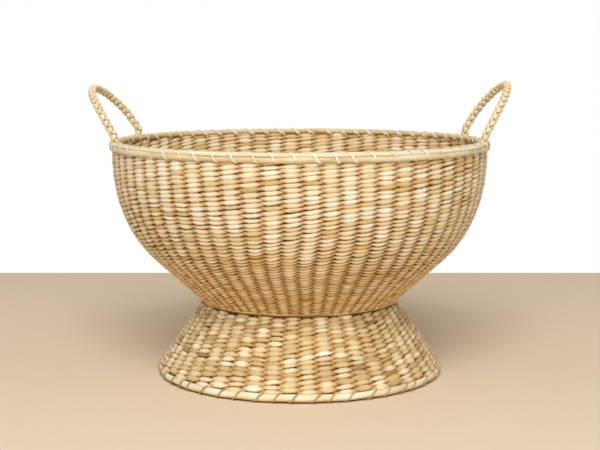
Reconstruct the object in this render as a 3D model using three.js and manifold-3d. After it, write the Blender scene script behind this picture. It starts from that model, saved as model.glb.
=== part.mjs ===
// A woven pedestal bowl: a deep basketry bowl on a flared hollow foot, with two arched handles.
// Millimetres, +Z up. The origin is on the floor under the middle of the foot, +X runs through
// the handles and the front is -Y.
import * as THREE from "three";
import { mergeVertices } from "three/addons/utils/BufferGeometryUtils.js";
import Module from "manifold-3d";

const wasm = await Module();
wasm.setup();

// Clearances
const fit = 0.3; // between pieces that lie against each other
const seamGap = 0.4; // between the bowl and the foot's upper edge
const boreFit = 0.5; // round the handle wire inside its plait
const floorClear = 0.5; // under the hem thread

// The woven wall: weft on both faces, stakes in the middle
const layer = 2.0; // weft on each face
const stakeThickness = 2.0;
const stakeWidth = 3.2;
const bowlStakes = 64;
const footStakes = 48;
const stakeRoot = 18; // from the joint of bowl and foot to where the stakes are set in
const rootRing = 6; // height of the ring that the stakes' roots make
const ringExtra = 0.1; // how far that ring stands proud of the stakes on each face
const columnDepth = 0.9; // how far the stitches' columns sink between two stakes
const columnStart = 10; // from the joint to where the bowl's columns have their full depth

// The bowl's outer face: a flat base, a straight flank and a turn up to the rim
const wallRadius = 187; // at the weave's upper edge
const weaveTop = 224.3;
const shoulderHeight = 155; // where the flank's line would meet the upright wall
const flankAngle = 42.5; // degrees above the floor
const turnRun = 56; // how far below the shoulder the flank starts to turn
const undersideHeight = 44;
const heelRun = 24; // rounding between the base and the flank

// Chords in the section's curves
const outerTurnChords = 5;
const innerTurnChords = 6;
const slotTurnChords = 3; // the stakes and the handles' legs follow these
const outerHeelChords = 2;
const innerHeelChords = 3;

// The foot
const footRadius = 141; // at the weave's lower edge
const footFlare = 34.2; // degrees from upright

// Rim: a band outside the stakes, a band inside them, a crown over both, and a lashing
const bandWidth = 4;
const bandHeight = 6.3;
const crownWidth = 9;
const crownHeight = 3.3;
const crownFlat = 5;
const lashWidth = 5;
const lashThickness = 1;

// Hem: a band outside the stakes and a thread wound round both
const hemWidth = 4;
const hemHeight = 7.1;
const threadWidth = 2.4;
const threadThickness = 0.8;

// Ties that sew the foot to the bowl
const tieCount = 8;
const tieBite = 5; // from the joint to where the tie goes through a wall
const tieWidth = 3;
const tieThickness = 1.2;

// Handles: a stiff wire in a plait, its legs pushed down into the bowl's wall
const frontLegAt = 2.75; // stake spacings forward of the X axis
const leftArch = { backLegAt: 4.25, rise: 45, lean: 31.3 }; // backLegAt is behind the X axis
const rightArch = { backLegAt: 3.75, rise: 48.5, lean: 29.7 };
const leanPower = 1.25;
const archOffset = 3.5; // how far the plait steps out over the rim before it rises
const handleStraight = 3; // upright stretch above the rim
const wireDiameter = 2;
const plaitDiameter = 8;
const legDepth = 30; // wire inside the wall
const wireSides = 6;
const plaitSides = 8;
const boreSides = 5;

const rad = THREE.MathUtils.degToRad;
const point = (r, z) => new THREE.Vector2(r, z);

// Derived sizes
const slot = stakeThickness + 2 * fit;
const wall = 2 * layer + slot;
const bowlPitch = (2 * Math.PI) / bowlStakes;
const footPitch = (2 * Math.PI) / footStakes;
const bowlFlat = Math.cos(bowlPitch / 2); // middle of a facet against its corners
const footFlat = Math.cos(footPitch / 2);
const rimSag = wallRadius * (1 - bowlFlat);
const hemSag = footRadius * (1 - footFlat);

const flankWay = point(Math.cos(rad(flankAngle)), Math.sin(rad(flankAngle)));
const flankIn = point(-flankWay.y, flankWay.x); // square to the flank, into the bowl
const footWay = point(-Math.sin(rad(footFlare)), Math.cos(rad(footFlare)));
const footIn = point(-footWay.y, footWay.x); // square to the foot's wall, into its hollow

const bandBottom = weaveTop + 2 * fit + rimSag + lashThickness;
const bandTop = bandBottom + bandHeight;
const crownBottom = bandTop + fit;
const crownTop = crownBottom + crownHeight;
const rimTop = crownTop + fit + rimSag + lashThickness;
const stakeTop = crownBottom - fit;

const hemBottom = floorClear + threadThickness + fit + hemSag;
const hemTop = hemBottom + hemHeight;
const weaveFoot = hemTop + 2 * fit + hemSag + threadThickness; // lower edge of the foot's weave

// Lines in the section plane: radius across, height up
const along = (start, way, distance) => start.clone().addScaledVector(way, distance);

function meet(p, wayP, q, wayQ) {
  const d = q.clone().sub(p);
  return along(p, wayP, d.cross(wayQ) / wayP.cross(wayQ));
}

const shoulder = point(wallRadius, shoulderHeight);
const heel = meet(shoulder, flankWay, point(0, undersideHeight), point(1, 0));
const footEdge = point(footRadius, weaveFoot);
const joint = meet(shoulder, flankWay, footEdge, footWay);

// Knots of the bowl's outer face, each with the way square to it into the bowl
function knotsOf(curve, steps) {
  const knots = [];
  for (let i = 0; i <= steps; i++) {
    const way = curve.getTangent(i / steps);
    knots.push({ at: curve.getPoint(i / steps), inward: point(-way.y, way.x) });
  }
  return knots;
}

const heelCurve = new THREE.QuadraticBezierCurve(
  point(heel.x - heelRun, heel.y),
  heel,
  along(heel, flankWay, heelRun),
);
const turnCurve = new THREE.QuadraticBezierCurve(
  along(shoulder, flankWay, -turnRun),
  shoulder,
  point(wallRadius, weaveTop),
);
const flankKnot = (distance) => ({ at: along(joint, flankWay, distance), inward: flankIn });
const columnKnots = [flankKnot(columnStart), ...knotsOf(turnCurve, outerTurnChords)];
const innerKnots = [
  ...knotsOf(heelCurve, innerHeelChords),
  ...knotsOf(turnCurve, innerTurnChords),
];
const turnKnots = knotsOf(turnCurve, slotTurnChords);
const slotKnots = [flankKnot(stakeRoot), ...turnKnots];
const offset = (knots, depth) => knots.map((k) => along(k.at, k.inward, depth));

// A closed outline turned about Z
const ring = (outline, segments) =>
  new THREE.LatheGeometry([...outline, outline[0]], segments).rotateX(Math.PI / 2);

// Angle 0 is the front, and angles grow towards +X
const placed = (r, z, angle) =>
  new THREE.Vector3(r * Math.sin(angle), -r * Math.cos(angle), z);

// An outline turned about Z with one facet for each stake. A point that is a knot, with a way in,
// has one more corner on each facet: that corner, over a stake, is the crest of a column, and the
// corners between stakes sink by columnDepth.
function columned(outline, count) {
  const pitch = (2 * Math.PI) / count;
  const points = [];
  const index = [];
  const rings = outline.map((spot) => {
    const at = spot.at ?? spot;
    const start = points.length;
    if (at.x === 0) {
      points.push(placed(0, at.y, 0));
      return { corner: () => start, crest: () => undefined };
    }
    const edge = spot.at ? along(at, spot.inward, columnDepth) : at;
    for (let i = 0; i < count; i++) points.push(placed(edge.x, edge.y, i * pitch));
    const corner = (i) => start + (i % count);
    if (!spot.at) return { corner, crest: () => undefined };
    for (let i = 0; i < count; i++) points.push(placed(at.x, at.y, (i + 0.5) * pitch));
    return { corner, crest: (i) => start + count + i };
  });
  for (let j = 0; j < rings.length - 1; j++)
    for (let i = 0; i < count; i++) {
      const [here, next] = [rings[j], rings[j + 1]];
      const right = [here.corner(i + 1), next.corner(i + 1)];
      const left = [next.corner(i), here.corner(i)];
      const round =
        here.crest(i) === undefined
          ? [next.crest(i), ...left, ...right]
          : [here.crest(i), ...right, next.crest(i), ...left];
      const known = round.filter((c) => c !== undefined);
      const corners = known.filter((c, k) => c !== known[(k + 1) % known.length]);
      for (let k = 1; k < corners.length - 1; k++) index.push(corners[0], corners[k], corners[k + 1]);
    }
  return new THREE.BufferGeometry().setFromPoints(points).setIndex(index);
}

// Booleans
function toSolid(geometry) {
  const bare = geometry.clone();
  bare.deleteAttribute("normal");
  bare.deleteAttribute("uv");
  const merged = mergeVertices(bare, 1e-3);
  return new wasm.Manifold(
    new wasm.Mesh({
      numProp: 3,
      vertProperties: merged.attributes.position.array,
      triVerts: new Uint32Array(merged.index.array),
    }),
  );
}

function toGeometry(solid) {
  const mesh = solid.getMesh();
  const geometry = new THREE.BufferGeometry();
  geometry.setAttribute("position", new THREE.BufferAttribute(mesh.vertProperties, 3));
  geometry.setIndex(new THREE.BufferAttribute(mesh.triVerts, 1));
  geometry.computeVertexNormals();
  return geometry;
}

const cut = (geometry, cutters) =>
  toGeometry(cutters.reduce((solid, cutter) => solid.subtract(toSolid(cutter)), toSolid(geometry)));

// A loop in the section plane moved out, or in where negative, by one distance all round
function grow(loop, distance) {
  return mitres(loop).map((mitre, i) => along(loop[i], mitre, distance));
}

// For each corner of an anticlockwise loop, the way out that keeps both faces parallel
function mitres(loop) {
  const outs = loop.map((p, i) => {
    const way = loop[(i + 1) % loop.length].clone().sub(p).normalize();
    return point(way.y, -way.x);
  });
  return outs.map((out, i) => {
    const before = outs[(i + loop.length - 1) % loop.length];
    return out.clone().add(before).divideScalar(1 + out.dot(before));
  });
}

// A flat strip wound round a loop, closed on itself. Each turn moves on by one pitch, and
// places says how far through its turn the strip is at each corner of the loop.
function strip({ loop, places, turns, pitch, start, width, thickness }) {
  const outs = mitres(loop);
  const rings = [];
  const centres = [];
  for (let turn = 0; turn < turns; turn++) {
    loop.forEach((p, i) => {
      const angle = start + (turn + places[i]) * pitch;
      const across = new THREE.Vector3(Math.cos(angle), Math.sin(angle), 0);
      const corner = (side, face) => {
        const q = along(p, outs[i], (face * thickness) / 2);
        return placed(q.x, q.y, angle).addScaledVector(across, (side * width) / 2);
      };
      rings.push([corner(1, 1), corner(1, -1), corner(-1, -1), corner(-1, 1)]);
      centres.push(placed(p.x, p.y, angle));
    });
  }
  return { geometry: tube(rings), centres };
}

// Rings of points joined in order, the last to the first
function tube(rings) {
  const sides = rings[0].length;
  const index = [];
  rings.forEach((_, i) => {
    const next = ((i + 1) % rings.length) * sides;
    for (let s = 0; s < sides; s++) {
      const t = (s + 1) % sides;
      index.push(i * sides + s, i * sides + t, next + t);
      index.push(i * sides + s, next + t, next + s);
    }
  });
  const geometry = new THREE.BufferGeometry().setFromPoints(rings.flat()).setIndex(index);
  geometry.computeVertexNormals();
  return geometry;
}

// The least gap between points of a winding that are a turn or nearly a turn apart
function leastGap(centres, perTurn, width) {
  let least = Infinity;
  centres.forEach((p, i) => {
    for (let k = 2; k <= perTurn + 1; k++)
      least = Math.min(least, p.distanceTo(centres[(i + k) % centres.length]) - width);
  });
  return least;
}

// Seam ties: through the foot's wall, and twice through the bowl's
const footInner = along(footEdge, footIn, wall);
const seamLine = along(joint, flankIn, -seamGap);
const footTopOuter = meet(footEdge, footWay, seamLine, flankWay);
const footTopInner = meet(footInner, footWay, seamLine, flankWay);
const tieStandoff = fit + tieThickness / 2;
const seamUpper = along(footTopOuter, flankWay, tieBite);
const seamLower = along(footTopInner, flankWay, -tieBite);
const tieLoop = [
  along(seamUpper, flankIn, seamGap + wall + tieStandoff),
  along(seamLower, flankIn, seamGap + wall + tieStandoff),
  along(seamLower, flankIn, seamGap - tieStandoff),
  along(along(footTopInner, footWay, -tieBite), footIn, tieStandoff),
  along(along(footTopOuter, footWay, -tieBite), footIn, -tieStandoff),
  along(seamUpper, flankIn, seamGap - tieStandoff),
];

function tie(number, clearance) {
  return strip({
    loop: tieLoop,
    places: tieLoop.map(() => 0),
    turns: 1,
    pitch: 0,
    start: ((number + 0.5) * 2 * Math.PI) / tieCount,
    width: tieWidth + 2 * clearance,
    thickness: tieThickness + 2 * clearance,
  }).geometry;
}

const tieNumbers = [...Array(tieCount).keys()];
const tieHoles = tieNumbers.map((n) => tie(n, fit));

// Bowl
function bowlWeft() {
  const outline = [
    point(0, undersideHeight),
    ...offset(knotsOf(heelCurve, outerHeelChords), 0),
    ...columnKnots,
    ...offset(slotKnots, layer).reverse(),
    ...offset(slotKnots, layer + slot),
    ...offset(innerKnots, wall).reverse(),
    point(0, undersideHeight + wall),
  ];
  return cut(columned(outline, bowlStakes), tieHoles);
}

// Stakes and the ring at their roots, as one body. A station is a pair of points in the section
// plane, on the outer and the inner face. The ring goes from far to near, and each stake leaves the
// near side in the middle of a facet and runs on through the stations. A stake is a split cane with
// its flat side, as wide as stakeWidth, towards the axis.
function stakeCrown({ far, near, stations, count }) {
  const pitch = (2 * Math.PI) / count;
  const facet = Math.cos(pitch / 2);
  const points = [];
  const index = [];
  const quad = (a, b, c, d) => index.push(a, b, c, a, c, d);
  const ringCorners = [far[0], far[1], near[1], near[0]];
  for (let i = 0; i < count; i++)
    points.push(...ringCorners.map((p) => placed(p.x, p.y, i * pitch)));
  for (let i = 0; i < count; i++) {
    const [farOut, farIn, nearIn, nearOut] = ringCorners.map((_, k) => 4 * i + k);
    const [farOutNext, farInNext, nearInNext, nearOutNext] = ringCorners.map(
      (_, k) => 4 * ((i + 1) % count) + k,
    );
    quad(farOut, farOutNext, nearOutNext, nearOut);
    quad(farOut, farIn, farInNext, farOutNext);
    quad(farIn, nearIn, nearInNext, farInNext);
    const middle = (i + 0.5) * pitch;
    const across = new THREE.Vector3(Math.cos(middle), Math.sin(middle), 0);
    const root = points.length;
    for (const [outer, inner] of stations)
      for (const [p, side] of [[outer, 0], [inner, 1], [inner, -1]])
        points.push(placed(p.x * facet, p.y, middle).addScaledVector(across, (side * stakeWidth) / 2));
    index.push(nearOut, nearOutNext, root);
    quad(nearOutNext, nearInNext, root + 1, root);
    quad(nearInNext, nearIn, root + 2, root + 1);
    quad(nearIn, nearOut, root, root + 2);
    for (let k = root; k < points.length - 3; k += 3)
      for (let s = 0; s < 3; s++) {
        const t = (s + 1) % 3;
        quad(k + s, k + t, k + t + 3, k + s + 3);
      }
    index.push(points.length - 3, points.length - 2, points.length - 1);
  }
  // Stakes that leave the ring downwards come out inside out, and are turned
  if (stations.at(-1)[0].y < stations[0][0].y) index.reverse();
  const geometry = new THREE.BufferGeometry().setFromPoints(points).setIndex(index);
  geometry.computeVertexNormals();
  return geometry;
}

// The ring at the roots fills the slot to within its clearance, and the stakes stand in it
const stakeFace = layer + fit;
const stakeBack = stakeFace + stakeThickness;
const ringFace = stakeFace - ringExtra;
const ringBack = stakeBack + ringExtra;

function bowlStakeCrown() {
  const rootKnots = [flankKnot(stakeRoot + fit), flankKnot(stakeRoot + fit + rootRing)];
  const pairs = (knots, face, back) =>
    knots.map((k) => [along(k.at, k.inward, face), along(k.at, k.inward, back)]);
  const [far, near] = pairs(rootKnots, ringFace, ringBack);
  const top = [point(wallRadius - stakeFace, stakeTop), point(wallRadius - stakeBack, stakeTop)];
  const stations = [...pairs([rootKnots[1], ...turnKnots], stakeFace, stakeBack), top];
  return stakeCrown({ far, near, stations, count: bowlStakes });
}

// Rim
const bandInside = wallRadius - stakeFace + fit; // the outer band's face against the stakes
const bandOutside = wallRadius - stakeBack - fit; // the inner band's face against them
const rimOuter = bandInside + bandWidth;
const rimInner = bandOutside - bandWidth;
const rimMiddle = (rimOuter + rimInner) / 2;

const rimBand = (inside, outside) =>
  ring(
    [
      point(inside, bandBottom),
      point(outside, bandBottom),
      point(outside, bandTop),
      point(inside, bandTop),
    ],
    bowlStakes,
  );

function rimCrown(holes) {
  const half = crownWidth / 2;
  const outline = [
    point(rimMiddle - half, crownBottom),
    point(rimMiddle + half, crownBottom),
    point(rimMiddle + crownFlat / 2, crownTop),
    point(rimMiddle - crownFlat / 2, crownTop),
  ];
  return cut(ring(outline, bowlStakes), holes);
}

// Each turn goes up outside the rim, over the crown, down inside, and out between two stakes
const rimTurn = [0.075, 0.415, 0.455, 0.545, 0.585, 0.925];

function rimLashing() {
  const bundle = [
    point(rimOuter, bandBottom),
    point(rimOuter, bandTop),
    point(rimMiddle + crownFlat / 2, crownTop),
    point(rimMiddle - crownFlat / 2, crownTop),
    point(rimInner, bandTop),
    point(rimInner, bandBottom),
  ];
  const wound = strip({
    loop: grow(bundle, fit + rimSag + lashThickness / 2),
    places: rimTurn,
    turns: bowlStakes,
    pitch: -bowlPitch,
    start: 0,
    width: lashWidth,
    thickness: lashThickness,
  });
  const gap = leastGap(wound.centres, rimTurn.length, lashWidth);
  console.log("rim lashing, least gap to itself: " + gap.toFixed(2) + " mm");
  return wound.geometry;
}

// Foot
const footAt = (depth) => along(footEdge, point(-1, 0), depth / Math.cos(rad(footFlare)));
const stakeFootOuter = footAt(stakeFace).x;
const stakeFootInner = footAt(stakeBack).x;
const threadRoom = threadThickness + 2 * (fit + hemSag);
const lipOuter = stakeFootInner - threadRoom;
const lipInner = lipOuter - layer;

function footWeft() {
  const slotTop = (depth) => along(along(joint, footWay, -stakeRoot), footIn, depth);
  const edge = { at: footEdge, inward: point(-1, 0) }; // level, as the hem lies close below
  const outline = [
    edge,
    { at: footTopOuter, inward: footIn },
    footTopInner,
    meet(footInner, footWay, point(lipInner, 0), point(0, 1)),
    point(lipInner, 0),
    point(lipOuter, 0),
    point(lipOuter, weaveFoot),
    footAt(layer + slot),
    slotTop(layer + slot),
    slotTop(layer),
    footAt(layer),
    edge,
  ];
  return cut(columned(outline, footStakes), tieHoles);
}

function footStakeCrown() {
  const down = (distance, depth) =>
    along(along(joint, footWay, -stakeRoot - fit - distance), footIn, depth);
  const pair = (distance, face, back) => [down(distance, face), down(distance, back)];
  return stakeCrown({
    far: pair(0, ringFace, ringBack),
    near: pair(rootRing, ringFace, ringBack),
    stations: [
      pair(rootRing, stakeFace, stakeBack),
      [footAt(stakeFace), footAt(stakeBack)],
      [point(stakeFootOuter, hemBottom), point(stakeFootInner, hemBottom)],
    ],
    count: footStakes,
  });
}

// Hem
const hemInside = stakeFootOuter + fit;
const hemOutside = hemInside + hemWidth;

const hemBand = () =>
  ring(
    [
      point(hemInside, hemBottom),
      point(hemOutside, hemBottom),
      point(hemOutside, hemTop),
      point(hemInside, hemTop),
    ],
    footStakes,
  );

// Each turn goes up outside the hem, in between two stakes, down inside them and out underneath
const hemTurn = [-0.45, -0.05, 0.05, 0.45];

function hemLashing() {
  const bundle = [
    point(hemOutside, hemBottom),
    point(hemOutside, hemTop),
    point(stakeFootInner, hemTop),
    point(stakeFootInner, hemBottom),
  ];
  const wound = strip({
    loop: grow(bundle, fit + hemSag + threadThickness / 2),
    places: hemTurn,
    turns: footStakes,
    pitch: footPitch,
    start: 0,
    width: threadWidth,
    thickness: threadThickness,
  });
  const gap = leastGap(wound.centres, hemTurn.length, threadWidth);
  console.log("hem lashing, least gap to itself: " + gap.toFixed(2) + " mm");
  return wound.geometry;
}

// Handles
const legFacet = bowlFlat / Math.cos(bowlPitch / 4); // a leg stands half way from a facet's middle
const legWall = offset(turnKnots, wall / 2).map((p) => point(p.x * legFacet, p.y));
const legRadius = legWall.at(-1).x;

// The wire's leg inside the wall, from its lower end up to the weave's edge
function legInWall() {
  const leg = [legWall.at(-1)];
  let left = legDepth;
  for (let i = legWall.length - 2; i >= 0 && left > 0; i--) {
    const step = leg[0].distanceTo(legWall[i]);
    const way = legWall[i].clone().sub(leg[0]).normalize();
    leg.unshift(along(leg[0], way, Math.min(step, left)));
    left -= step;
  }
  return leg;
}

// side is 1 for the handle at +X and -1 for the one at -X
function handleRoute(side, { backLegAt, rise, lean }) {
  const front = (side * Math.PI) / 2 - side * frontLegAt * bowlPitch;
  const back = (side * Math.PI) / 2 + side * backLegAt * bowlPitch;
  const foot = rimTop + fit;
  const start = placed(legRadius, foot, front);
  const end = placed(legRadius, foot, back);
  const middle = start.clone().add(end).divideScalar(2);
  const half = start.clone().sub(end).divideScalar(2);
  const outward = new THREE.Vector3(-half.y, half.x, 0).normalize();
  if (outward.x * side < 0) outward.negate();
  const arch = [start];
  const archSteps = 16;
  for (let i = 0; i <= archSteps; i++) {
    const turn = (i / archSteps) * Math.PI;
    const height = Math.sin(turn);
    const p = middle.clone().addScaledVector(half, Math.cos(turn));
    const stepped = i % archSteps ? archOffset : 0;
    p.addScaledVector(outward, stepped + lean * height ** leanPower);
    p.z += handleStraight + rise * height;
    arch.push(p);
  }
  arch.push(end);
  const leg = (angle) => legInWall().map((p) => placed(p.x, p.y, angle));
  return { front, back, arch, whole: [...leg(front), ...arch, ...leg(back).reverse()] };
}

function circle(diameter, sides) {
  const corners = [];
  for (let i = 0; i < sides; i++) {
    const turn = (i / sides) * 2 * Math.PI;
    corners.push(point((diameter / 2) * Math.cos(turn), (diameter / 2) * Math.sin(turn)));
  }
  return corners;
}

// A path whose stations are its own points, so that two pieces on it share their bends
class Route extends THREE.Curve {
  constructor(points) {
    super();
    this.points = points;
    this.steps = points.length - 1;
  }
  getPoint(t) {
    const i = Math.min(Math.floor(t * this.steps), this.steps - 1);
    return this.points[i].clone().lerp(this.points[i + 1], t * this.steps - i);
  }
  getUtoTmapping(u) {
    return u;
  }
}

function sweep(shape, path) {
  return new THREE.ExtrudeGeometry(shape, {
    steps: path.steps,
    extrudePath: path,
    bevelEnabled: false,
  });
}

const handleWire = (route) =>
  sweep(new THREE.Shape(circle(wireDiameter, wireSides)), new Route(route.whole));

function handlePlait(route) {
  const shape = new THREE.Shape(circle(plaitDiameter, plaitSides));
  shape.holes.push(new THREE.Path(circle(wireDiameter + 2 * boreFit, boreSides)));
  return sweep(shape, new Route(route.arch));
}

// The hole that a leg takes through the crown
function legHole(angle) {
  const radius = wireDiameter / 2 + fit;
  const at = placed(legRadius, (crownBottom + crownTop) / 2, angle);
  return new THREE.CylinderGeometry(radius, radius, 2 * crownHeight, 8)
    .rotateX(Math.PI / 2)
    .translate(at.x, at.y, at.z);
}

const handles = { left: handleRoute(-1, leftArch), right: handleRoute(1, rightArch) };
const legHoles = Object.values(handles).flatMap((h) => [legHole(h.front), legHole(h.back)]);

// Finishes
const finish = (color, roughness, metalness = 0) =>
  new THREE.MeshStandardMaterial({ color, roughness, metalness });
const straw = finish(0xcda468, 0.75);
const paleStraw = finish(0xd9be8c, 0.72);
const cane = finish(0xa98a5a, 0.7);
const creamStrip = finish(0xe6d6b0, 0.7);
const brownThread = finish(0x8c6239, 0.8);
const wireSteel = finish(0x5c5852, 0.5, 0.8);

const bowl = new THREE.Group();

function add(name, geometry, material) {
  const mesh = new THREE.Mesh(geometry, material);
  mesh.name = name;
  bowl.add(mesh);
}

add("bowl_weft", bowlWeft(), straw);
add("bowl_stakes", bowlStakeCrown(), cane);
add("rim_outer_band", rimBand(bandInside, rimOuter), paleStraw);
add("rim_inner_band", rimBand(rimInner, bandOutside), paleStraw);
add("rim_crown", rimCrown(legHoles), paleStraw);
add("rim_lashing", rimLashing(), creamStrip);
add("foot_weft", footWeft(), paleStraw);
add("foot_stakes", footStakeCrown(), cane);
add("hem_band", hemBand(), paleStraw);
add("hem_lashing", hemLashing(), brownThread);
for (const n of tieNumbers) add("seam_tie_" + String(n + 1).padStart(2, "0"), tie(n, 0), straw);
for (const [side, route] of Object.entries(handles)) {
  add(side + "_handle_wire", handleWire(route), wireSteel);
  add(side + "_handle_plait", handlePlait(route), creamStrip);
}

export default bowl;
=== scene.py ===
import bpy
import math
import numpy as np
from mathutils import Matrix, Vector


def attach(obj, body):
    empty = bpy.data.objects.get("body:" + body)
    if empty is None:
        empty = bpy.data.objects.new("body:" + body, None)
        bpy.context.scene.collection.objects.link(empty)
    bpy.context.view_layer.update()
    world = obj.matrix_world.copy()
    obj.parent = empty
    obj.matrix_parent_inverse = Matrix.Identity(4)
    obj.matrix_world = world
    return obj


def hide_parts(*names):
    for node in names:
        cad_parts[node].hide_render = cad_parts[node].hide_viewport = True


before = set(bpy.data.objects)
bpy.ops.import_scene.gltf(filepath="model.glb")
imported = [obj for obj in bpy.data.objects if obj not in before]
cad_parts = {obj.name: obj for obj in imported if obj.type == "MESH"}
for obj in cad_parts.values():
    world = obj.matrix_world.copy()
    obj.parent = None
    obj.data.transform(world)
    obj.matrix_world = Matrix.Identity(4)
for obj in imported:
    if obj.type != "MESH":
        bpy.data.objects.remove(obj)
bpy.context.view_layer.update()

# Everything below is worked out in millimetres and goes into the meshes in metres
mm = 0.001
tau = 2 * math.pi
sides = 8  # corners round every strand
stripSquare = 0.8  # how far a flat strip's section is squared off: 1 is an oval


# Section lines of the two woven walls: radius across, height up

shape = dict(
    wallRadius=187, weaveTop=224.3, shoulderHeight=155, flankAngle=42.5, turnRun=56,
    undersideHeight=44, heelRun=24, wall=6.6,
    footRadius=141, footFlare=34.2, footEdge=10.7, seamGap=0.4,
)


def spot(r, z):
    return np.array([r, z], float)


def crossing(p, wayP, q, wayQ):  # where two lines in the section plane meet
    turned = spot(wayQ[1], -wayQ[0])
    return p + wayP * np.dot(q - p, turned) / np.dot(wayP, turned)


def bend(start, corner, end, steps=60):  # quadratic curve: start and end pulled to a corner
    t = np.linspace(0, 1, steps)[:, None]
    return (1 - t) ** 2 * start + 2 * t * (1 - t) * corner + t ** 2 * end


def straight(start, end, steps=40):
    return start + (end - start) * np.linspace(0, 1, steps)[:, None]


class WallLine:
    # A wall's outer face as a line, moved in by half the wall and read by the run along it.
    # The way out is the line's own way turned right by a quarter.
    def __init__(self, points, depth):
        keep = np.r_[True, np.linalg.norm(np.diff(points, axis=0), axis=1) > 1e-6]
        points = points[keep]
        way = np.gradient(points, axis=0)
        way /= np.linalg.norm(way, axis=1)[:, None]
        self.out = np.stack([way[:, 1], -way[:, 0]], 1)
        self.middle = points - depth * self.out
        step = np.linalg.norm(np.diff(self.middle, axis=0), axis=1)
        self.run = np.r_[0, np.cumsum(step)]

    def radius(self, run):
        return np.interp(run, self.run, self.middle[:, 0])

    def runAt(self, r):  # run where the middle line first reaches a radius
        return self.run[np.argmax(self.middle[:, 0] >= r)]

    def place(self, run, lift, angle):
        r = self.radius(run) + lift * np.interp(run, self.run, self.out[:, 0])
        z = np.interp(run, self.run, self.middle[:, 1]) + lift * np.interp(run, self.run, self.out[:, 1])
        return round3(r, z, angle)


def round3(r, z, angle):  # angle 0 is the front and grows towards +X
    r, z, angle = np.broadcast_arrays(r, z, angle)
    return np.stack([r * np.sin(angle), -r * np.cos(angle), z], -1)


flank = math.radians(shape["flankAngle"])
flare = math.radians(shape["footFlare"])
flankWay = spot(math.cos(flank), math.sin(flank))
flankIn = spot(-flankWay[1], flankWay[0])
footWay = spot(-math.sin(flare), math.cos(flare))
footIn = spot(-footWay[1], footWay[0])
shoulder = spot(shape["wallRadius"], shape["shoulderHeight"])
heel = crossing(shoulder, flankWay, spot(0, shape["undersideHeight"]), spot(1, 0))
footEdge = spot(shape["footRadius"], shape["footEdge"])
joint = crossing(shoulder, flankWay, footEdge, footWay)
overRun = 12  # both lines go on past their ends, so that a strand's edge may

bowlLine = WallLine(np.vstack([
    straight(spot(0.01, heel[1]), heel - spot(shape["heelRun"], 0)),
    bend(heel - spot(shape["heelRun"], 0), heel, heel + flankWay * shape["heelRun"]),
    straight(heel + flankWay * shape["heelRun"], shoulder - flankWay * shape["turnRun"]),
    bend(shoulder - flankWay * shape["turnRun"], shoulder, spot(shoulder[0], shape["weaveTop"]), 120),
    straight(spot(shoulder[0], shape["weaveTop"]), spot(shoulder[0], shape["weaveTop"] + overRun)),
]), shape["wall"] / 2)
footLine = WallLine(straight(footEdge - footWay * overRun, joint + footWay * overRun, 200), shape["wall"] / 2)


# Meshes

def signedPower(wave, power):  # keeps the sign, so below 1 it squares a round section off
    return np.sign(wave) * np.abs(wave) ** power


def facesOf(strands, stations, closed):
    # Quads over a grid of strand, station and side, with the grid's own counts before wrapping
    last = stations if closed else stations - 1
    n, j, t = np.meshgrid(np.arange(strands), np.arange(last), np.arange(sides), indexing="ij")
    corners = [(n, j, t), (n, j + 1, t), (n, j + 1, t + 1), (n, j, t + 1)]
    grid = np.stack([np.stack(c, -1).reshape(-1, 3) for c in corners], 1)
    if closed:
        return grid
    # An open strand's ends are closed by strips of quads across the section
    i = np.arange(sides // 2 - 1)
    cap = np.stack([i, i + 1, sides - 2 - i, sides - 1 - i], 1)
    ends = []
    for station, order in ((0, cap), (stations - 1, cap[:, ::-1])):
        side = np.broadcast_to(order, (strands,) + order.shape)
        strand = np.broadcast_to(np.arange(strands)[:, None, None], side.shape)
        ends.append(np.stack([strand, np.full(side.shape, station), side], -1).reshape(-1, 4, 3))
    return np.vstack([grid] + ends)


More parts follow.
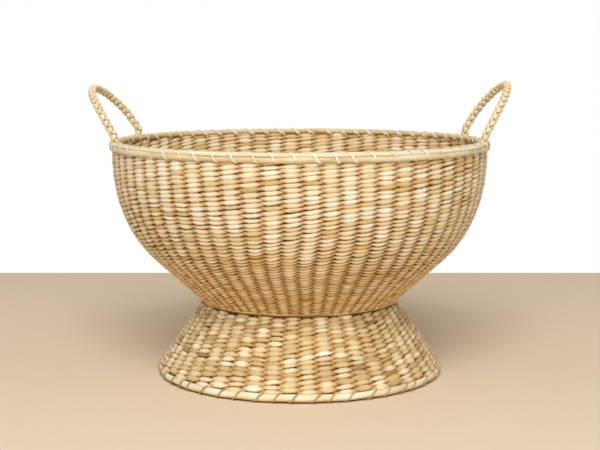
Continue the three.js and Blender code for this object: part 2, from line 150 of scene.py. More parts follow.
def addPiece(name, grid, marks, along, material, replaced=(), closed=True):
    # grid: strands, stations, sides and xyz in mm.
    # marks: named values on strands and stations, or on the sides as well.
    # along: length in mm at each station, with one more station where the strand is closed.
    strands, stations = grid.shape[:2]
    index = facesOf(strands, stations, closed)
    quads = (index[..., 0] * stations + index[..., 1] % stations) * sides + index[..., 2] % sides
    points = grid.reshape(-1, 3) * mm
    a, b, c, d = (points[quads[:, i]] for i in range(4))
    volume = np.einsum("ij,ij->", a, np.cross(b, c)) + np.einsum("ij,ij->", a, np.cross(c, d))
    if volume < 0:
        quads, index = quads[:, ::-1], index[:, ::-1]
    mesh = bpy.data.meshes.new(name)
    mesh.vertices.add(len(points))
    mesh.vertices.foreach_set("co", points.ravel())
    mesh.loops.add(quads.size)
    mesh.loops.foreach_set("vertex_index", quads.ravel())
    mesh.polygons.add(len(quads))
    mesh.polygons.foreach_set("loop_start", np.arange(0, quads.size, 4))
    mesh.polygons.foreach_set("use_smooth", np.ones(len(quads), bool))
    mesh.update(calc_edges=True)
    flat = index.reshape(-1, 3)
    # strand map: tens of millimetres along, turns round. Bake map: one row for each strand.
    tens = along[flat[:, 0], flat[:, 1]] / 10
    turns = flat[:, 2] / sides
    share = flat[:, 1] / (stations if closed else stations - 1)
    for title, u, v in (("strand", tens, turns), ("OFBake", share, (flat[:, 0] + turns * 0.96) / strands)):
        layer = mesh.uv_layers.new(name=title)
        layer.data.foreach_set("uv", np.stack([u, v], -1).astype(np.float32).ravel())
    mesh.uv_layers.active = mesh.uv_layers["strand"]
    for title, values in marks.items():
        values = np.asarray(values, np.float32)
        spread = values if values.ndim == 3 else np.broadcast_to(values, (strands, stations))[..., None]
        spread = np.ascontiguousarray(np.broadcast_to(spread, (strands, stations, sides)))
        mesh.attributes.new(title, "FLOAT", "POINT").data.foreach_set("value", spread.ravel())
    mesh.materials.append(material)
    piece = bpy.data.objects.new(name, mesh)
    bpy.context.scene.collection.objects.link(piece)
    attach(piece, "root")
    if replaced:
        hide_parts(*replaced)
    print("piece", name, "with", 2 * len(quads), "triangles")


# Shaders

class Value:
    # A socket that can be added, multiplied and so on, each step adding a Math node
    def __init__(self, board, socket):
        self.board = board
        self.socket = socket

    def maths(self, operation, a, b=0.0):
        return self.board.node("ShaderNodeMath", dict(operation=operation), {0: a, 1: b})

    def __add__(self, other):
        return self.maths("ADD", self, other)

    def __sub__(self, other):
        return self.maths("SUBTRACT", self, other)

    def __rsub__(self, other):
        return self.maths("SUBTRACT", other, self)

    def __mul__(self, other):
        return self.maths("MULTIPLY", self, other)

    __radd__ = __add__
    __rmul__ = __mul__


class Board:
    # A material's nodes
    def __init__(self, name):
        self.material = bpy.data.materials.new(name)
        self.material.use_nodes = True
        self.tree = self.material.node_tree
        self.tree.nodes.clear()

    def node(self, kind, settings=None, sockets=None, output=0):
        made = self.tree.nodes.new(kind)
        for key, setting in (settings or {}).items():
            if key == "stops":
                self.setStops(made.color_ramp, setting)
            else:
                setattr(made, key, setting)
        for key, given in (sockets or {}).items():
            if isinstance(given, Value):
                self.tree.links.new(given.socket, made.inputs[key])
            else:
                made.inputs[key].default_value = given
        return Value(self, made.outputs[output]) if made.outputs else made

    def setStops(self, ramp, stops):
        while len(ramp.elements) < len(stops):
            ramp.elements.new(1.0)
        for element, (position, colour) in zip(ramp.elements, stops):
            element.position = position
            element.color = (*colour, 1)

    def mark(self, name):  # a value kept on the mesh's points
        return self.node("ShaderNodeAttribute", dict(attribute_name=name), output="Fac")

    def ramp(self, factor, stops):
        return self.node("ShaderNodeValToRGB", dict(stops=stops), {"Fac": factor}, "Color")

    def limit(self, value, low, high):  # smooth step from 0 at low to 1 at high
        return self.node(
            "ShaderNodeMapRange", dict(interpolation_type="SMOOTHSTEP"),
            {"Value": value, "From Min": low, "From Max": high},
        )

    def blend(self, factor, a, b, way="MIX"):
        a, b = ((*c, 1) if isinstance(c, tuple) and len(c) == 3 else c for c in (a, b))
        settings = dict(data_type="RGBA", blend_type=way)
        return self.node("ShaderNodeMix", settings, {0: factor, 6: a, 7: b}, 2)

    def noise(self, vector, scale, detail=2.0, stretch=(1, 1, 1)):
        mapped = self.node("ShaderNodeMapping", None, {"Vector": vector, "Scale": stretch})
        return self.node("ShaderNodeTexNoise", None, {"Vector": mapped, "Scale": scale, "Detail": detail})

    def finish(self, colour, roughness, height=None, rise=0.0002, strength=0.5, metallic=0.0):
        sockets = {
            "Base Color": colour, "Roughness": roughness, "Metallic": metallic,
            "Specular IOR Level": 0.28,
        }
        if height is not None:
            sockets["Normal"] = self.node(
                "ShaderNodeBump", None, {"Strength": strength, "Distance": rise, "Height": height})
        shader = self.node("ShaderNodeBsdfPrincipled", None, sockets)
        self.node("ShaderNodeOutputMaterial", None, {"Surface": shader})
        return self.material


def rush(name, look):
    # Dried rush: each stitch has its own tone, fibres run along the strand, and the nooks between
    # stitches get painted shade. Lightness is the tone moved by coarse and fine fibres.
    board = Board(name)
    tone, tint, nook = board.mark("tone"), board.mark("tint"), board.mark("nook")
    strand = board.node("ShaderNodeUVMap", dict(uv_map="strand"))
    coarse = board.noise(strand, 1.0, 2.0, (0.9, 5, 1))
    fine = board.noise(strand, 1.0, 3.0, (2.2, 22, 1))
    light = tone + (coarse - 0.5) * look["coarse"] + (fine - 0.5) * look["fine"]
    colour = board.ramp(light, look["stops"])
    blush = board.limit(tint, 0.8, 0.98) * look["blush"]
    colour = board.blend(blush, colour, look["blushColour"], "MULTIPLY")
    green = board.limit(tint, 0.2, 0.03) * look["green"]
    colour = board.blend(green, colour, look["greenColour"], "MULTIPLY")
    if "paintedBounceWarmth" in look:  # painted warm bounce light from below: lower down, the straw is multiplied more golden
        place = board.node("ShaderNodeTexCoord", output="Object")
        height = board.node("ShaderNodeSeparateXYZ", None, {"Vector": place}, "Z")
        low = board.limit(height, look["paintedBounceTop"], look["paintedBounceFoot"])
        colour = board.blend(low * look["paintedBounceWarmth"], colour, look["paintedBounceColour"], "MULTIPLY")
    if "paintedGrooveShade" in look:  # painted warm shade: a shallow groove is multiplied towards tan, for light bounced from strand to strand
        paintedGrooveShade = board.limit(nook, 0.04, 0.22) * look["paintedGrooveShade"]
        colour = board.blend(paintedGrooveShade, colour, look["paintedGrooveShadeColour"], "MULTIPLY")
    # Painted shade: the deeper a point lies between the strands, the more it is mixed towards dark brown
    shade = board.limit(nook, look["paintedShadeFrom"], 0.85) * look["paintedShadeStrength"]
    colour = board.blend(shade, colour, look["paintedShadeColour"])
    roughness = 0.5 + (fine - 0.5) * 0.3
    return board.finish(colour, roughness, coarse * 0.4 + fine * 0.6, rise=0.0003, strength=0.45)


rushStops = [
    (0.0, (0.39, 0.23, 0.08)), (0.28, (0.655, 0.465, 0.20)), (0.5, (0.805, 0.645, 0.35)),
    (0.72, (0.915, 0.83, 0.62)), (1.0, (0.98, 0.955, 0.85)),
]
bowlLook = dict(
    stops=rushStops, coarse=0.35, fine=0.25, blush=0.5, blushColour=(0.97, 0.80, 0.66),
    green=0.3, greenColour=(0.86, 0.88, 0.66), paintedBounceWarmth=0.75, paintedBounceTop=0.17, paintedBounceFoot=0.085,
    paintedBounceColour=(1.0, 0.86, 0.59), paintedShadeStrength=0.97, paintedShadeColour=(0.23, 0.08, 0.02), paintedShadeFrom=0.14,
    paintedGrooveShade=0.85, paintedGrooveShadeColour=(0.86, 0.66, 0.43),
)
footStops = [
    (0.0, (0.38, 0.24, 0.09)), (0.28, (0.59, 0.44, 0.22)), (0.5, (0.74, 0.61, 0.37)),
    (0.72, (0.88, 0.80, 0.59)), (1.0, (0.98, 0.955, 0.84)),
]
footLook = dict(
    stops=footStops, coarse=0.35, fine=0.25, blush=0.35, blushColour=(0.90, 0.76, 0.60),
    green=0.65, greenColour=(0.84, 0.88, 0.62), paintedShadeStrength=0.97, paintedShadeColour=(0.25, 0.10, 0.03), paintedShadeFrom=0.14,
    paintedGrooveShade=0.85, paintedGrooveShadeColour=(0.87, 0.69, 0.45),
)
paleStops = [
    (0.0, (0.47, 0.29, 0.11)), (0.28, (0.72, 0.525, 0.265)), (0.5, (0.83, 0.69, 0.445)),
    (0.75, (0.905, 0.845, 0.685)), (1.0, (0.97, 0.95, 0.87)),
]
bandLook = dict(
    stops=paleStops, coarse=0.5, fine=0.35, blush=0.2, blushColour=(0.95, 0.82, 0.66),
    green=0.3, greenColour=(0.88, 0.90, 0.70), paintedShadeStrength=0.9, paintedShadeColour=(0.26, 0.13, 0.04), paintedShadeFrom=0.1,
)
handleLook = dict(
    bandLook, paintedShadeColour=(0.38, 0.19, 0.06), paintedShadeFrom=0.22,
    stops=[(0.0, (0.46, 0.27, 0.09)), (0.3, (0.74, 0.52, 0.24)), (0.55, (0.87, 0.70, 0.42)),
           (0.8, (0.94, 0.85, 0.63)), (1.0, (0.98, 0.94, 0.82))],
)
plainLook = dict(  # no tints and no painted shade
    blush=0.0, blushColour=(1.0, 1.0, 1.0), green=0.0, greenColour=(1.0, 1.0, 1.0),
    paintedShadeStrength=0.0, paintedShadeColour=(0.1, 0.06, 0.03), paintedShadeFrom=0.25,
)
threadLook = dict(
    plainLook, coarse=0.5, fine=0.4,
    stops=[(0.0, (0.25, 0.14, 0.05)), (0.5, (0.50, 0.31, 0.12)), (1.0, (0.68, 0.48, 0.23))],
)
caneLook = dict(
    plainLook, coarse=0.4, fine=0.5,
    stops=[(0.0, (0.17, 0.075, 0.025)), (0.5, (0.28, 0.14, 0.05)), (1.0, (0.42, 0.25, 0.10))],
)
bowlRush = rush("bowl rush", bowlLook)
footRush = rush("foot rush", footLook)
bandRush = rush("band rush", bandLook)
handleRush = rush("handle rush", handleLook)
brownThread = rush("brown thread", threadLook)
splitCane = rush("split cane", caneLook)


def drawnWire(name):
    # Annealed wire: dark bare steel, drawn lines along it and rust in spots
    board = Board(name)
    place = board.node("ShaderNodeTexCoord", output="Object")
    drawn = board.noise(place, 900.0, 3.0, (1, 1, 0.1))
    rust = board.limit(board.noise(place, 160.0, 4.0), 0.52, 0.66)
    colour = board.blend(rust * 0.6, (0.27, 0.265, 0.255), (0.23, 0.11, 0.05))
    return board.finish(colour, 0.36 + drawn * 0.25, drawn, 0.0001, 0.3, 0.9 - rust * 0.6)


wireSteel = drawnWire("wire steel")
for side in ("left", "right"):
    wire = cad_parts[side + "_handle_wire"]
    wire.data.materials.clear()
    wire.data.materials.append(wireSteel)
print("materials made")


# Woven walls

unevenness = dict(level=1.1, sway=0.008, waves=7)


class Wander:
    # A handmade wall's slow unevenness: a sum of waves round the wall and along its run
    def __init__(self, seed, size):
        rng = np.random.default_rng(seed)
        count = unevenness["waves"]
        self.around = rng.integers(1, 9, count)
        self.upward = rng.uniform(0.01, 0.06, count) * rng.choice([-1, 1], count)
        self.phase = rng.uniform(0, tau, count)
        self.size = size * rng.uniform(0.5, 1, count) / math.sqrt(count / 2)

    def __call__(self, run, angle):
        run, angle = np.asarray(run), np.asarray(angle)
        waves = zip(self.around, self.upward, self.phase, self.size)
        return sum(size * np.sin(n * angle + up * run + phase) for n, up, phase, size in waves)


def rowRuns(start, end, plan, rng):
    # Middles of rows that fill a run, each a little thicker or thinner than the next. The first row's
    # width is the plan's share of the last one's.
    count = max(2, round((end - start) / plan["spacing"]))
    widths = np.clip(1 + plan["rowUneven"] * rng.standard_normal(count), 0.75, 1.3)
    widths *= np.linspace(plan["firstRow"], 1, count)
    widths *= (end - start) / widths.sum()
    return start + np.cumsum(widths) - widths / 2, widths


def byStitch(values, turn):
    # A value for each stitch, run smoothly into the next where the strand goes through the wall
    own = np.floor(turn).astype(int)
    off = turn - own - 0.5
    weight = np.cos(math.pi * off / 2) ** 2
    count = values.shape[1]
    beside = (own + np.where(off < 0, -1, 1)) % count
    return values[:, own % count] * weight + values[:, beside] * (1 - weight)


# Along a stitch, in stake spacings from the stake that the strand passes outside: the strand's outer
# face off the wall's middle, and its half width there. Its inner face is the same from the next stake.
stitch = dict(
    stations=[0, 0.1, 0.18, 0.3, 0.5, 0.7, 0.82, 0.9],
    far=[0, 0.2, 0.32, 0.4, 0.5, 0.6, 0.68, 0.8, 1],
    face=[3.3, 3.18, 2.95, 2.75, 2.4, 1.9, 0.75, -0.7, -1.0],
    wide=[1.0, 0.93, 0.78, 0.63, 0.43, 0.21, 0.08, 0.48, 0.8],
    bulge=0.5, square=0.8, squarer=0.1, deepest=3.4, sag=1.5, round=0.25, rounder=0.45, slimmer=0.28,
    unevenPlace=0.05, unevenThick=0.06, unevenMost=1.3,
)


def weave(line, plan, rng, level, sway, first=0):
    # Each row is a strand that goes outside one stake and inside the next. Its section runs from its
    # inner face to its outer face, wide where it covers a stake and drawn to a tip beside the next.
    runs, widths = plan["runs"], plan["widths"]
    rows, stakes = len(runs), plan["stakes"]
    turn = (np.arange(stakes)[:, None] + np.array(stitch["stations"])).ravel()
    row = np.arange(rows)[:, None] + first
    angle = math.pi + turn[None] * tau / stakes
    swing = (turn[None] - 0.5 - row + 1) % 2 - 1
    far = np.abs(swing)
    # Where the wall faces down, the stitches are rounder and their middles hang
    hang = np.clip(-np.interp(runs, line.run, line.out[:, 1]), 0, 1)[:, None]
    face = np.interp(far, stitch["far"], stitch["face"])
    back = -np.interp(1 - far, stitch["far"], stitch["face"])
    face = face - stitch["round"] * hang * np.where(far < 0.5, 4 * far ** 2, 2 - 2 * far)
    outer = np.interp(far, stitch["far"], stitch["wide"])
    inner = np.interp(1 - far, stitch["far"], stitch["wide"])
    uneven = rng.standard_normal((5, rows, stakes))
    uneven = np.clip(uneven, -stitch["unevenMost"], stitch["unevenMost"])
    wide, thick, out, shift, tilt = (byStitch(values, turn) for values in uneven)
    full = widths[:, None] * plan["fill"] * (1 - stitch["slimmer"] * hang) * (1 + plan["uneven"] * wide)
    middle = (face + back) / 2 * (1 + stitch["unevenPlace"] * out)
    half = (face - back) / 2 * (1 + stitch["unevenThick"] * thick)
    lean = plan["lean"] * (1 + plan["tilt"] * tilt)
    run = runs[:, None] + lean * np.sin(math.pi * swing) + plan["drift"] * shift
    run = run + level(runs[:, None], angle) - stitch["sag"] * hang * np.cos(math.pi * swing)
    around = np.arange(sides) * tau / sides
    cross = np.sin(math.pi * far)[..., None]
    square = stitch["square"] + stitch["rounder"] * hang[..., None] - stitch["squarer"] * cross
    up = signedPower(np.sin(around), square)
    across = ((outer + inner)[..., None] + (outer - inner)[..., None] * up) / 2
    across = full[..., None] * (across + stitch["bulge"] * cross * (1 - up ** 2) ** 3)
    lift = middle[..., None] + half[..., None] * up
    grid = line.place(
        run[..., None] + across * signedPower(np.cos(around), square), lift,
        (angle + sway(runs[:, None], angle))[..., None],
    )
    # Painted shade: the deeper a point lies below the wall's faces, the darker it is painted
    nook = 1 - np.abs(lift) / stitch["deepest"]
    # Tone: the strand's own slow changes, each stitch's change, and two strands woven in turn
    slow = np.cumsum(rng.standard_normal((rows, stakes)), 1)
    slow -= np.linspace(0, 1, stakes) * (slow[:, -1:] - slow[:, :1])
    slow = (slow - slow.mean(1, keepdims=True)) / (slow.std(1, keepdims=True) + 1e-6)
    single = rng.standard_normal((rows, stakes))
    tone = plan["tone"] + plan["slow"] * slow + plan["single"] * single
    tone = byStitch(tone, turn) + plan["pair"] * np.where(row % 2 == 0, 1, -1)
    tone = tone - plan["inside"] * np.clip(2 * far - 1, 0, 1)  # the inner face is darker
    tint = byStitch(rng.uniform(0, 1, (rows, stakes)), turn)
    length = line.radius(runs)[:, None] * np.r_[turn, stakes][None] * tau / stakes
    along = length + rng.uniform(0, 900, rows)[:, None]
    return grid, dict(tone=tone, tint=tint, nook=nook), along


def stakeSet(line, starts, ends, count, plan, sway):
    # Flat canes up the wall's middle: a rounded section carried along the wall's line
    run = np.linspace(0, 1, plan["stations"])[None] * (ends - starts) + starts
    run = np.broadcast_to(run, (count, plan["stations"]))
    angle = (np.arange(count)[:, None] + 0.5) * tau / count
    angle = angle + sway(run, angle)
    radius = line.radius(run)
    half = np.minimum(plan["wide"] / 2, 0.23 * radius * tau / count)
    around = np.arange(sides) * tau / sides
    across = half[..., None] * signedPower(np.cos(around), 0.6)
    grid = line.place(
        run[..., None],
        plan["thick"] / 2 * signedPower(np.sin(around), 0.6),
        angle[..., None] + across / radius[..., None],
    )
    return grid, run


bowlPlan = dict(
    stakes=64, spacing=1.98, rowUneven=0.08, firstRow=0.8, fill=1.28, uneven=0.12, lean=0.55,
    tilt=0.6, drift=0.24, tone=0.74, slow=0.1, single=0.145, pair=0.02, inside=0.07,
)
basePlan = dict(bowlPlan, spacing=2.0, firstRow=1.0, tone=0.5, pair=0.0)
footPlan = dict(
    stakes=48, spacing=2.36, rowUneven=0.08, firstRow=1.0, fill=1.26, uneven=0.12, lean=0.4,
    tilt=0.9, drift=0.26, tone=0.55, slow=0.1, single=0.165, pair=0.02, inside=0.1,
)
stakePlan = dict(wide=3.2, thick=2.0, stations=40, darkest=0.2, lightest=0.7)
baseRadius = 52  # the base's own stakes reach this far out
rowsPastTop = 6.2  # the rows go on up inside the rim
stakesPastTop = 7
rng = np.random.default_rng(640)
bowlLevel, bowlSway = Wander(11, unevenness["level"]), Wander(12, unevenness["sway"])
footLevel, footSway = Wander(13, unevenness["level"]), Wander(14, unevenness["sway"])


def still(run, angle):  # a wall without unevenness
    return 0 * (np.asarray(run) + np.asarray(angle))


def addStakes(name, line, start, end, count, sway, replaced=()):
    grid, run = stakeSet(line, start, end, count, stakePlan, sway)
    tone = rng.uniform(stakePlan["darkest"], stakePlan["lightest"], (count, 1))
    marks = dict(tone=tone, tint=0.5, nook=0.0)
    addPiece(name, grid, marks, run, splitCane, replaced, closed=False)


# Bowl wall: rows from the base's edge up to the rim, in pieces that share the same stakes
topRun = bowlLine.run[-1] - overRun
splitRun = bowlLine.runAt(baseRadius)
runs, widths = rowRuns(splitRun, topRun + rowsPastTop, bowlPlan, rng)
pieceRows = np.array_split(np.arange(len(runs)), 6)
for number, part in enumerate(pieceRows):
    plan = dict(bowlPlan, runs=runs[part], widths=widths[part])
    grid, marks, along = weave(bowlLine, plan, rng, bowlLevel, bowlSway, part[0])
    addPiece(f"bowlWeave{number + 1}", grid, marks, along, bowlRush,
             ("bowl_weft",) if number == 0 else ())

# Bowl base: fewer stakes towards the middle, and a button where they cross
baseZones = [  # name, stakes, inner and outer radius
    ("bowlBaseOuter", 32, 26, baseRadius), ("bowlBaseInner", 16, 11, 26), ("bowlBaseMiddle", 8, 3.2, 11),
]
for name, stakes, inner, outer in baseZones:
    start, end = bowlLine.runAt(inner), bowlLine.runAt(outer)
    zoneRuns, zoneWidths = rowRuns(start, end, basePlan, rng)
    plan = dict(basePlan, stakes=stakes, runs=zoneRuns, widths=zoneWidths)
    grid, marks, along = weave(bowlLine, plan, rng, still, still)
    addPiece(name, grid, marks, along, bowlRush)
print("bowl woven with", len(runs), "rows")

# Bowl stakes: those of the wall, then two sets of the base, each running on a little past its rows
addStakes("bowlStakes1", bowlLine, splitRun - 2, topRun + stakesPastTop, bowlPlan["stakes"], bowlSway,
          ("bowl_stakes",))
addStakes("bowlStakes2", bowlLine, bowlLine.runAt(24), splitRun + 3, 32, still)
addStakes("bowlStakes3", bowlLine, bowlLine.runAt(9), bowlLine.runAt(28), 16, still)

# Foot wall and its stakes
footEnd = np.linalg.norm(joint - footEdge) + overRun
footRuns, footWidths = rowRuns(overRun - 0.6, footEnd - 0.3, footPlan, rng)
plan = dict(footPlan, runs=footRuns, widths=footWidths)
grid, marks, along = weave(footLine, plan, rng, footLevel, footSway)
addPiece("footWeave", grid, marks, along, footRush, ("foot_weft",))
addStakes("footStakes", footLine, overRun - 3, footEnd - 5, footPlan["stakes"], footSway,
          ("foot_stakes",))
print("foot woven with", len(footRuns), "rows")


# Strands laid round the rim, the hem, the joint and the foot's lip

hoopPlan = dict(
    waves=(3, 5, 8, 13, 21), swell=0.025, waver=0.12, rise=0.1, tone=0.05, square=0.85, nook=0.45,
)


def hoops(specs, stations, rng):
    # Rings of strand with an oval section that swells and wavers slowly round the ring
    angle = math.pi + np.arange(stations)[None] * tau / stations
    r, z, deep, tall, tone = (np.array([s[i] for s in specs], float)[:, None] for i in range(5))
    count = len(specs)
    swell, waver, rise = np.zeros((3, count, stations))
    for wave in hoopPlan["waves"]:
        phases = rng.uniform(0, tau, (3, count, 1))
        swell, waver, rise = (x + np.sin(wave * angle + p) for x, p in zip((swell, waver, rise), phases))
    swell = 1 + hoopPlan["swell"] * swell
    around = np.arange(sides) * tau / sides
    out, up = (signedPower(wave, hoopPlan["square"]) for wave in (np.cos(around), np.sin(around)))
    grid = round3(
        (r + hoopPlan["waver"] * waver)[..., None] + (deep * swell)[..., None] * out,
        (z + hoopPlan["rise"] * rise)[..., None] + (tall * swell)[..., None] * up,
        angle[..., None],
    )
    # Painted shade on a strand's lower edge, where it lies on the next
    nook = hoopPlan["nook"] * np.clip(-np.sin(around), 0, 1) ** 2 * np.ones((count, stations, 1))
    tint = rng.uniform(0.15, 0.85, (count, 1))
    marks = dict(tone=tone + hoopPlan["tone"] * waver, tint=tint, nook=nook)
    along = r * np.arange(stations + 1)[None] * tau / stations + rng.uniform(0, 900, (count, 1))
    return grid, marks, along


# radius, height, half depth, half height, tone
rimStrands = [
    (187.2, 229.2, 2.1, 2.7, 0.42), (186.4, 233.2, 2.3, 1.9, 0.64), (183.2, 234.2, 2.0, 1.5, 0.52),
    (180.6, 233.0, 1.9, 2.1, 0.36), (183.7, 230.8, 1.8, 2.9, 0.30),
]
hemStrands = [(140.6, 5.3, 2.1, 3.6, 0.76), (137.4, 5.2, 1.5, 3.0, 0.55)]
lipStrands = [(132.8, 1.6 + 2.1 * i, 1.05, 1.2, 0.5) for i in range(5)]
jointStrands = [(joint[0] + 1.0, joint[1] + 1.6, 1.0, 0.9, 0.42)]
# A dark cane strand in the seam is a painted shadow: it stands for the shade line under the bowl's edge
jointShadowCord = [(joint[0] + 0.9, joint[1] + 0.2, 0.9, 0.7, 0.2)]
baseButton = [(1.9, shape["undersideHeight"] + shape["wall"] / 2, 1.9, 3.4, 0.5)]
for name, specs, stations, material, slot, replaced in (
    ("rimStrands", rimStrands, 320, bandRush, "band_rush", ("rim_outer_band", "rim_inner_band", "rim_crown")),
    ("hemStrands", hemStrands, 320, footRush, "band_rush", ("hem_band",)),
    ("footLip", lipStrands, 320, footRush, "foot_rush", ()),
    ("jointStrand", jointStrands, 320, bowlRush, "bowl_rush", ()),
    ("jointShadowCord", jointShadowCord, 320, splitCane, "stake_cane", ()),
    ("bowlBaseButton", baseButton, 16, bowlRush, "bowl_rush", ()),
):
    grid, marks, along = hoops(specs, stations, rng)
    addPiece(name, grid, marks, along, material, replaced)


# Windings

def winding(plan, rng):
    # A strip wound on and on round a bundle: a squared oval in the section plane, with the angle
    # round the bowl growing by one pitch a turn, and a flat oval section carried along it
    turns, steps = plan["turns"], plan["steps"]
    step = np.arange(turns * steps)
    beta = (step % steps) / steps * tau - math.pi / 2  # from underneath, up outside, down inside
    place = np.interp(beta, plan["beta"], plan["place"])
    jitter = byStitch(rng.standard_normal((1, turns)), step / steps)[0]
    angle = math.pi + (step // steps + place + plan["jitter"] * jitter) * plan["pitch"]
    swell = 1 + plan["uneven"] * byStitch(rng.standard_normal((1, turns)), step / steps)[0]
    wave = np.stack([np.cos(beta), np.sin(beta)], -1)
    oval = plan["middle"] + plan["half"] * signedPower(wave, plan["square"])
    inside = np.sqrt(np.clip(-wave[:, 0], 0, 1)) * (wave[:, 1] < 0)
    oval[:, 1] += plan["inner"] * inside  # the strip dips less far down inside than outside
    centre = round3(oval[:, 0], oval[:, 1], angle)
    way = np.roll(centre, -1, 0) - np.roll(centre, 1, 0)
    face = signedPower(wave, 2 - plan["square"]) / plan["half"]
    face = round3(face[:, 0], face[:, 1], angle)
    across = np.cross(way, face)
    across /= np.linalg.norm(across, axis=1)[:, None]
    face = np.cross(across, way)
    face /= np.linalg.norm(face, axis=1)[:, None]
    around = np.arange(sides) * tau / sides
    wide = (plan["wide"] / 2 * swell)[:, None] * signedPower(np.cos(around), stripSquare)
    thick = plan["thick"] / 2 * signedPower(np.sin(around), stripSquare)
    grid = centre[:, None] + wide[..., None] * across[:, None] + thick[:, None] * face[:, None]
    tone = plan["tone"] + plan["unevenTone"] * byStitch(rng.standard_normal((1, turns)), step / steps)
    length = np.r_[0, np.cumsum(np.linalg.norm(np.diff(centre, axis=0), axis=1))]
    along = np.r_[length, 2 * length[-1] - length[-2]][None]
    tint = byStitch(rng.uniform(0.2, 0.8, (1, turns)), step / steps)
    return grid[None], dict(tone=tone, tint=tint, nook=0.0), along


wrapBeta = np.radians([-90, -40, 40, 90, 140, 220, 270])  # round the bundle, for the places below
rimWrap = dict(
    turns=bowlPlan["stakes"], steps=24, pitch=-tau / bowlPlan["stakes"], square=0.55, inner=3.9,
    middle=spot(183.7, 230.95), half=spot(5.4, 4.9),
    beta=wrapBeta, place=[0, 0.09, 0.42, 0.5, 0.58, 0.91, 1],
    wide=2.4, thick=0.5, uneven=0.2, jitter=0.08, tone=0.74, unevenTone=0.08,
)
hemWrap = dict(
    turns=footPlan["stakes"], steps=24, pitch=tau / footPlan["stakes"], square=0.55, inner=0.0,
    middle=spot(138.9, 5.5), half=spot(4.6, 4.6),
    beta=wrapBeta, place=[-0.5, -0.45, -0.05, 0, 0.05, 0.45, 0.5],
    wide=1.5, thick=0.7, uneven=0.15, jitter=0.12, tone=0.6, unevenTone=0.08,
)
grid, marks, along = winding(rimWrap, rng)
addPiece("rimWraps", grid, marks, along, bandRush, ("rim_lashing",))
grid, marks, along = winding(hemWrap, rng)
addPiece("hemThread", grid, marks, along, brownThread, ("hem_lashing",))


# Handles

handle = dict(
    frontLeg=2.75, legRadius=183.53, foot=237.85, sink=5.0, straight=3,
    leanPower=1.25, footOut=2.4, archOut=1.1,
    ply=2.2, weaveDepth=0.95, turnLength=15.0, wide=4.6, thick=2.0, uneven=0.06,
    station=0.7, softened=9, blocks=60, tone=0.62, unevenTone=0.09, nook=0.35, paintedEdgeShade=0.25,
)
arches = {-1: dict(backLeg=4.25, rise=45, lean=31.3), 1: dict(backLeg=3.75, rise=48.5, lean=29.7)}


def handleLine(side, count=1200):
    # The arch: half a turn of cosine between the feet and sine upwards, leaning out as it rises
    pitch, own = tau / bowlPlan["stakes"], arches[side]
    front = side * (math.pi / 2 - handle["frontLeg"] * pitch)
    back = side * (math.pi / 2 + own["backLeg"] * pitch)
    start = round3(handle["legRadius"], handle["foot"], front)
    end = round3(handle["legRadius"], handle["foot"], back)
    half = (start - end) / 2
    outward = np.array([-half[1], half[0], 0]) / np.linalg.norm(half)
    outward *= np.sign(outward[0] * side)
    start, end = start + outward * handle["footOut"], end + outward * handle["footOut"]
    turn = np.linspace(0, math.pi, count)[:, None]
    height = np.sin(turn)
    up = np.array([0, 0, 1.0])
    out = own["lean"] * height ** handle["leanPower"] + handle["archOut"] * np.minimum(1, height * 5)
    arch = (start + end) / 2 + half * np.cos(turn) + outward * out
    arch = arch + up * (handle["straight"] + own["rise"] * height)
    points = np.vstack([start - up * handle["sink"], start, arch, end, end - up * handle["sink"]])
    face = np.cross(half, outward * own["lean"] + up * own["rise"])
    return points, face / np.linalg.norm(face)


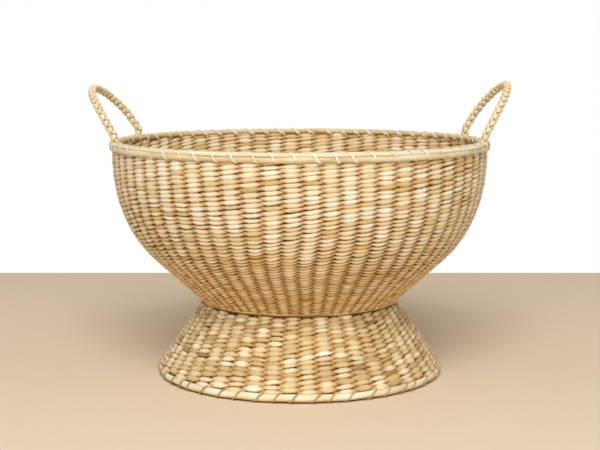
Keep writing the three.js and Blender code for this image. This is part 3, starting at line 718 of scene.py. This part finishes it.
def plait(side, rng):
    # Four strands round the wire, two turning each way. Radius and angle along the line: a strand
    # goes out over each one it meets and in under the next.
    points, flat = handleLine(side)
    length = np.r_[0, np.cumsum(np.linalg.norm(np.diff(points, axis=0), axis=1))]
    stations = int(length[-1] / handle["station"])
    at = np.linspace(0, length[-1], stations)
    line = np.stack([np.interp(at, length, points[:, i]) for i in range(3)], -1)
    soft = np.hanning(handle["softened"])
    soft /= soft.sum()
    margin = handle["softened"] // 2
    padded = np.pad(line, ((margin, margin), (0, 0)), mode="reflect", reflect_type="odd")
    line = np.stack([np.convolve(padded[:, i], soft, "valid") for i in range(3)], -1)
    way = np.gradient(line, axis=0)
    way /= np.linalg.norm(way, axis=1)[:, None]
    across = np.cross(flat, way)
    across /= np.linalg.norm(across, axis=1)[:, None]
    deep = np.cross(way, across)
    spin = at * tau / handle["turnLength"]
    strands = []
    for hand, phase in ((1, 0), (1, math.pi), (-1, 0), (-1, math.pi)):
        turned = hand * spin + phase
        reach = handle["ply"] + hand * handle["weaveDepth"] * np.cos(2 * spin)
        out = across * np.cos(turned)[:, None] + deep * np.sin(turned)[:, None]
        strands.append((line + out * reach[:, None], out))
    centre = np.stack([c for c, _ in strands])
    face = np.stack([o for _, o in strands])
    run = np.gradient(centre, axis=1)
    wide = np.cross(run, face)
    wide /= np.linalg.norm(wide, axis=2)[..., None]
    around = np.arange(sides) * tau / sides
    swell = 1 + handle["uneven"] * np.sin(np.arange(4)[:, None] * 1.7 + at[None] * 0.21)
    halfWide = (handle["wide"] / 2 * swell)[..., None] * signedPower(np.cos(around), stripSquare)
    halfThick = handle["thick"] / 2 * signedPower(np.sin(around), stripSquare)
    grid = centre[:, :, None] + halfWide[..., None] * wide[:, :, None]
    grid = grid + halfThick[:, None] * face[:, :, None]
    blocks = byStitch(rng.standard_normal((4, handle["blocks"])), at / (handle["turnLength"] / 2))
    depth = np.stack([1 - hand * np.cos(2 * spin) for hand in (1, 1, -1, -1)])
    # Painted shade: a strand is darker where it passes under the others and along its side edges
    nook = handle["nook"] * depth[..., None] + handle["paintedEdgeShade"] * np.cos(around) ** 2
    marks = dict(tone=handle["tone"] + handle["unevenTone"] * blocks, tint=0.5, nook=nook)
    along = np.broadcast_to(at, (4, stations)) * 1.4 + np.arange(4)[:, None] * 400
    return grid, marks, along


for name, node, side in (
    ("leftHandlePlait", "left_handle_plait", -1), ("rightHandlePlait", "right_handle_plait", 1),
):
    grid, marks, along = plait(side, rng)
    addPiece(name, grid, marks, along, handleRush, (node,), closed=False)


# Ties that sew the foot to the bowl

tiePlan = dict(count=8, bite=2.2, wide=2.4, thick=1.0, gap=-0.4)


def tieLoops():
    # One loop through both walls, its corners cut twice, turned to each place
    wall, gap, bite = shape["wall"], tiePlan["gap"], tiePlan["bite"]
    seam = joint - flankIn * shape["seamGap"]
    footInner = footEdge + footIn * wall
    topOuter = crossing(footEdge, footWay, seam, flankWay)
    topInner = crossing(footInner, footWay, seam, flankWay)
    upper, lower = topOuter + flankWay * bite, topInner - flankWay * bite
    loop = np.array([
        upper + flankIn * (shape["seamGap"] + wall + gap), lower + flankIn * (shape["seamGap"] + wall + gap),
        lower - flankIn * (gap - shape["seamGap"]), topInner - footWay * bite + footIn * gap,
        topOuter - footWay * bite - footIn * gap, upper - flankIn * (gap - shape["seamGap"]),
    ])
    for _ in range(3):
        after = np.roll(loop, -1, 0)
        loop = np.stack([0.75 * loop + 0.25 * after, 0.25 * loop + 0.75 * after], 1).reshape(-1, 2)
    way = np.roll(loop, -1, 0) - np.roll(loop, 1, 0)
    way /= np.linalg.norm(way, axis=1)[:, None]
    out = np.stack([way[:, 1], -way[:, 0]], -1)
    around = np.arange(sides) * tau / sides
    thick = tiePlan["thick"] / 2 * signedPower(np.sin(around), stripSquare)
    section = loop[:, None] + thick[:, None] * out[:, None]
    across = tiePlan["wide"] / 2 * signedPower(np.cos(around), stripSquare)
    angle = (np.arange(tiePlan["count"]) + 0.5)[:, None, None] * tau / tiePlan["count"]
    grid = round3(section[None, ..., 0], section[None, ..., 1], angle + across / section[None, ..., 0])
    length = np.r_[0, np.cumsum(np.linalg.norm(np.roll(loop, -1, 0) - loop, axis=1))]
    along = length[None] + np.arange(tiePlan["count"])[:, None] * 70
    return grid, dict(tone=0.3, tint=0.5, nook=0.0), along


grid, marks, along = tieLoops()
tieNodes = [f"seam_tie_{n + 1:02d}" for n in range(tiePlan["count"])]
addPiece("seamTies", grid, marks, along, bowlRush, tieNodes)
print("rim, hem, handles and ties made")


# Floor, light and camera

stagePlan = dict(
    reach=0.61, floor=(0.86, 0.72, 0.565), grain=(0.74, 0.62, 0.50),
    sky=0.37, skyColour=(1.0, 0.925, 0.77, 1),
    keyPower=54, keySize=1.4, keyPlace=(-0.05, -2.0, 1.85), keyAim=(0, 0, 0.15), keyColour=(1.0, 0.99, 0.97),
)


def paleFloor():  # one pale colour with a faint grain
    board = Board("pale floor")
    place = board.node("ShaderNodeTexCoord", output="Object")
    grain = board.noise(place, 30.0, 2.0)
    colour = board.blend(grain * 0.1, stagePlan["floor"], stagePlan["grain"])
    return board.finish(colour, 0.85)


reach = stagePlan["reach"]
floorMesh = bpy.data.meshes.new("floor")
floorCorners = [(-reach, -reach, 0), (reach, -reach, 0), (reach, reach, 0), (-reach, reach, 0)]
floorMesh.from_pydata(floorCorners, [], [(0, 1, 2, 3)])
floorMesh.materials.append(paleFloor())
floor = bpy.data.objects.new("floor", floorMesh)
bpy.context.scene.collection.objects.link(floor)

# Things are lit by a soft warm sky, while the camera and reflections see white
world = bpy.data.worlds.new("studio")
world.use_nodes = True
nodes, links = world.node_tree.nodes, world.node_tree.links
nodes.clear()
seen = nodes.new("ShaderNodeLightPath")
direct = nodes.new("ShaderNodeMath")
direct.operation = "MAXIMUM"
links.new(seen.outputs["Is Camera Ray"], direct.inputs[0])
links.new(seen.outputs["Is Glossy Ray"], direct.inputs[1])
soft, white, either, result = (nodes.new(k) for k in (
    "ShaderNodeBackground", "ShaderNodeBackground", "ShaderNodeMixShader", "ShaderNodeOutputWorld"))
soft.inputs["Color"].default_value = stagePlan["skyColour"]
soft.inputs["Strength"].default_value = stagePlan["sky"]
white.inputs["Color"].default_value = (1, 1, 1, 1)
links.new(direct.outputs[0], either.inputs["Fac"])
links.new(soft.outputs[0], either.inputs[1])
links.new(white.outputs[0], either.inputs[2])
links.new(either.outputs[0], result.inputs["Surface"])
bpy.context.scene.world = world


key = bpy.data.lights.new("key", "AREA")
key.energy = stagePlan["keyPower"]
key.size = stagePlan["keySize"]
key.color = stagePlan["keyColour"]
keyHolder = bpy.data.objects.new("key", key)
keyHolder.location = stagePlan["keyPlace"]
keyWay = Vector(stagePlan["keyAim"]) - Vector(stagePlan["keyPlace"])
keyHolder.rotation_euler = keyWay.to_track_quat("-Z", "Y").to_euler()
bpy.context.scene.collection.objects.link(keyHolder)

view = dict(distance=1.3806, height=0.3256, pitch=7.30, focal=1376.8, frameWidth=600, shift=0.4)
camera = bpy.data.cameras.new("camera")
camera.sensor_width = 36
camera.lens = 36 * view["focal"] / view["frameWidth"]
camera.shift_x = view["shift"] / view["frameWidth"]
cameraHolder = bpy.data.objects.new("camera", camera)
cameraHolder.location = (0, -view["distance"], view["height"])
cameraHolder.rotation_euler = (math.radians(90 - view["pitch"]), 0, 0)
bpy.context.scene.collection.objects.link(cameraHolder)
bpy.context.scene.camera = cameraHolder
bpy.context.scene.view_settings.view_transform = "Standard"
print("stage set")
